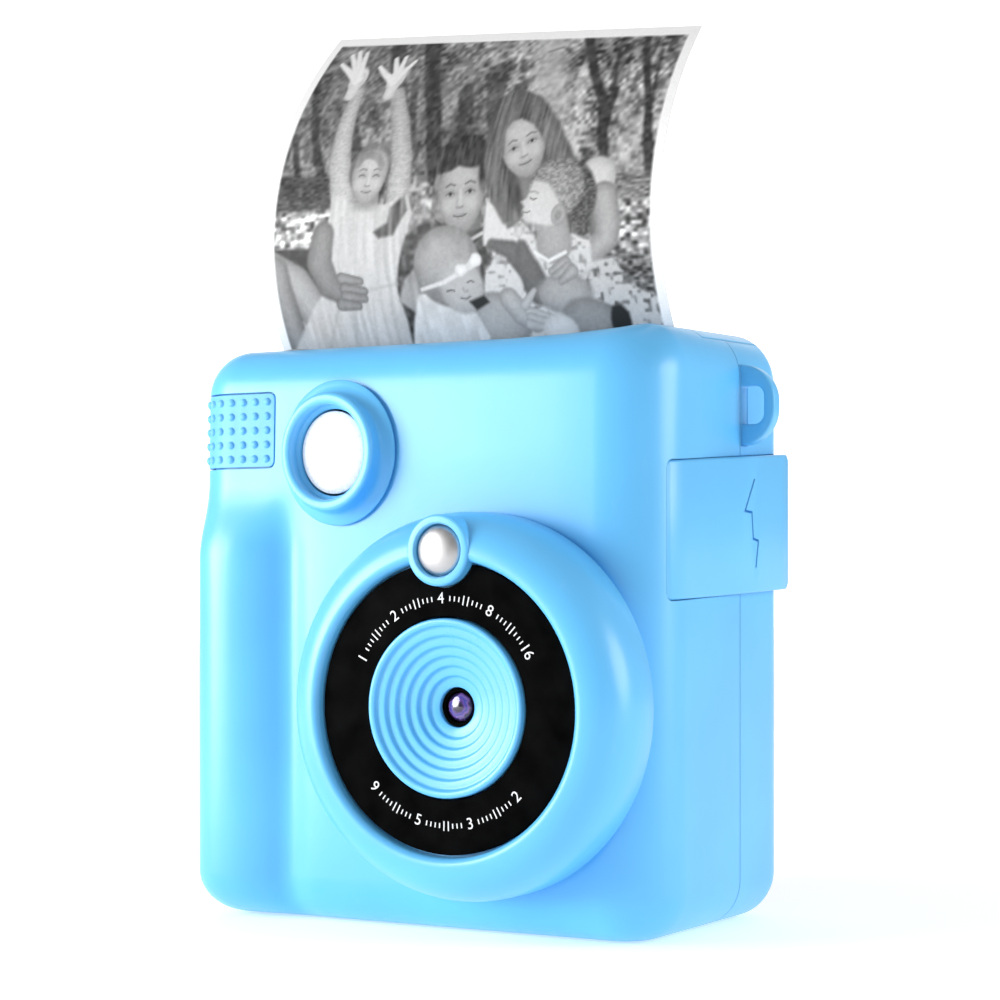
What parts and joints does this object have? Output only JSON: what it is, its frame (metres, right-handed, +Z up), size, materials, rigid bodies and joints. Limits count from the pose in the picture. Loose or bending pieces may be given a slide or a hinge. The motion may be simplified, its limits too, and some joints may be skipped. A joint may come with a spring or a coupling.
{
  "type": "kids instant print digital camera",
  "caption": "Boxy children's digital camera with a large round lens bezel, round flash, hand grip and a curled thermal print standing in the paper slot on top.",
  "frame": {"origin": "centre of the flat base", "axes": "+Z up, -Y the way the lens looks, +X towards the side with the port flap and strap lug"},
  "size_m": [0.1023, 0.0711, 0.1673],
  "materials": {
    "blue_plastic": "satin sky-blue moulded plastic",
    "black_gloss": "gloss black",
    "white_key": "satin white key cap",
    "silver": "bright vacuum-metallised silver",
    "steel": "plain steel",
    "aluminium": "plain aluminium extrusion",
    "flash_diffuser": "frosted clear diffuser",
    "lens_glass": "coated glass with a violet sheen",
    "rubber": "matt black silicone",
    "pad_rubber": "sky-blue soft rubber with raised dots",
    "grey_plastic": "matt dark grey",
    "white_plastic": "natural white acetal or ceramic",
    "circuit_board": "green solder resist",
    "battery_foil": "silver pouch foil",
    "paper": "thermal paper, smooth and matt"
  },
  "bodies": {
    "camera": {"front_shell": "blue_plastic", "rear_shell": "blue_plastic", "hinge_pin": "steel", "tear_bar": "steel", "lens_bezel": "blue_plastic", "lens_face_ring": "black_gloss", "lens_cone": "blue_plastic", "selfie_mirror": "silver", "lens_barrel": "black_gloss", "lens_glass": "lens_glass", "camera_board": "circuit_board", "flash_bezel": "blue_plastic", "flash_lens": "flash_diffuser", "flash_reflector": "silver", "flash_board": "circuit_board", "grip_pad": "pad_rubber", "strap_lug": "blue_plastic", "top_switch_board": "circuit_board", "screen_window": "black_gloss", "screen_panel": "grey_plastic", "main_board": "circuit_board", "key_board": "circuit_board", "battery": "battery_foil", "speaker": "grey_plastic", "port_board": "circuit_board", "usb_socket": "steel", "card_socket": "steel", "memory_card": "black_gloss", "printer_frame": "grey_plastic", "print_head": "white_plastic", "head_heatsink": "aluminium", "head_spring": "steel", "paper_leader": "paper", "motor": "steel", "shell_screw_1": "steel", "shell_screw_2": "steel", "shell_screw_3": "steel", "shell_screw_4": "steel"},
    "paper_door": {"paper_door": "blue_plastic", "platen_bracket": "steel"},
    "platen": {"platen_rubber": "rubber", "platen_shaft": "steel", "platen_gear": "white_plastic"},
    "roll": {"paper_roll": "paper", "roll_core": "grey_plastic"},
    "idler": {"idler_gear": "white_plastic"},
    "pinion": {"motor_pinion": "white_plastic"},
    "port_flap": {"port_flap": "blue_plastic"},
    "print": {"photo_print": "paper"},
    "shutter": {"shutter_button": "silver"},
    "power": {"power_button": "white_key"},
    "ok_button": {"ok_key": "white_key"},
    "up_button": {"up_key": "white_key"},
    "down_button": {"down_key": "white_key"},
    "left_button": {"left_key": "white_key"},
    "right_button": {"right_key": "white_key"},
    "play_button": {"play_key": "white_key"},
    "mode_button": {"mode_key": "white_key"},
    "delete_button": {"delete_key": "white_key"},
    "menu_button": {"menu_key": "white_key"}
  },
  "joints": [
    {"name": "paper_door_hinge", "type": "hinge", "parent": "camera", "child": "paper_door", "pos_m": [0, 0.0257, 0.0665], "axis": [-1, 0, 0], "range_deg": [0, 95]},
    {"name": "roll_spin", "type": "hinge", "parent": "camera", "child": "roll", "pos_m": [0, 0.0085, 0.0774], "axis": [1, 0, 0], "continuous": true},
    {"name": "platen_spin", "type": "hinge", "parent": "paper_door", "child": "platen", "pos_m": [0, -0.0002, 0.091], "axis": [1, 0, 0], "continuous": true},
    {"name": "idler_spin", "type": "hinge", "parent": "camera", "child": "idler", "pos_m": [0.0439, -0.01025, 0.08501], "axis": [1, 0, 0], "continuous": true},
    {"name": "pinion_spin", "type": "hinge", "parent": "camera", "child": "pinion", "pos_m": [0.0439, -0.013, 0.0755], "axis": [1, 0, 0], "continuous": true},
    {"name": "port_flap_hinge", "type": "hinge", "parent": "camera", "child": "port_flap", "pos_m": [0.0463, -0.0205, 0.0692], "axis": [0, 0, -1], "range_deg": [0, 60]},
    {"name": "print_slide", "type": "slide", "parent": "camera", "child": "print", "axis": [0, -0.5839, 0.8118], "range_m": [0, 0.025]},
    {"name": "shutter_push", "type": "slide", "parent": "camera", "child": "shutter", "axis": [0, 0, -1], "range_m": [0, 0.0008], "stiffness_N_per_m": 400, "springref_m": -0.0015},
    {"name": "power_push", "type": "slide", "parent": "camera", "child": "power", "axis": [0, 0, -1], "range_m": [0, 0.0006], "stiffness_N_per_m": 400, "springref_m": -0.0015},
    {"name": "ok_push", "type": "slide", "parent": "camera", "child": "ok_button", "axis": [0, -1, 0], "range_m": [0, 0.0006], "stiffness_N_per_m": 400, "springref_m": -0.0015},
    {"name": "up_push", "type": "slide", "parent": "camera", "child": "up_button", "axis": [0, -1, 0], "range_m": [0, 0.0006], "stiffness_N_per_m": 400, "springref_m": -0.0015},
    {"name": "down_push", "type": "slide", "parent": "camera", "child": "down_button", "axis": [0, -1, 0], "range_m": [0, 0.0006], "stiffness_N_per_m": 400, "springref_m": -0.0015},
    {"name": "left_push", "type": "slide", "parent": "camera", "child": "left_button", "axis": [0, -1, 0], "range_m": [0, 0.0006], "stiffness_N_per_m": 400, "springref_m": -0.0015},
    {"name": "right_push", "type": "slide", "parent": "camera", "child": "right_button", "axis": [0, -1, 0], "range_m": [0, 0.0006], "stiffness_N_per_m": 400, "springref_m": -0.0015},
    {"name": "play_push", "type": "slide", "parent": "camera", "child": "play_button", "axis": [0, -1, 0], "range_m": [0, 0.0006], "stiffness_N_per_m": 400, "springref_m": -0.0015},
    {"name": "mode_push", "type": "slide", "parent": "camera", "child": "mode_button", "axis": [0, -1, 0], "range_m": [0, 0.0006], "stiffness_N_per_m": 400, "springref_m": -0.0015},
    {"name": "delete_push", "type": "slide", "parent": "camera", "child": "delete_button", "axis": [0, -1, 0], "range_m": [0, 0.0006], "stiffness_N_per_m": 400, "springref_m": -0.0015},
    {"name": "menu_push", "type": "slide", "parent": "camera", "child": "menu_button", "axis": [0, -1, 0], "range_m": [0, 0.0006], "stiffness_N_per_m": 400, "springref_m": -0.0015}
  ],
  "couplings": [
    {"joint": "platen_spin", "follows": "roll_spin", "ratio": 3.1579},
    {"joint": "idler_spin", "follows": "roll_spin", "ratio": -1.9737},
    {"joint": "pinion_spin", "follows": "roll_spin", "ratio": 5.2632}
  ]
}
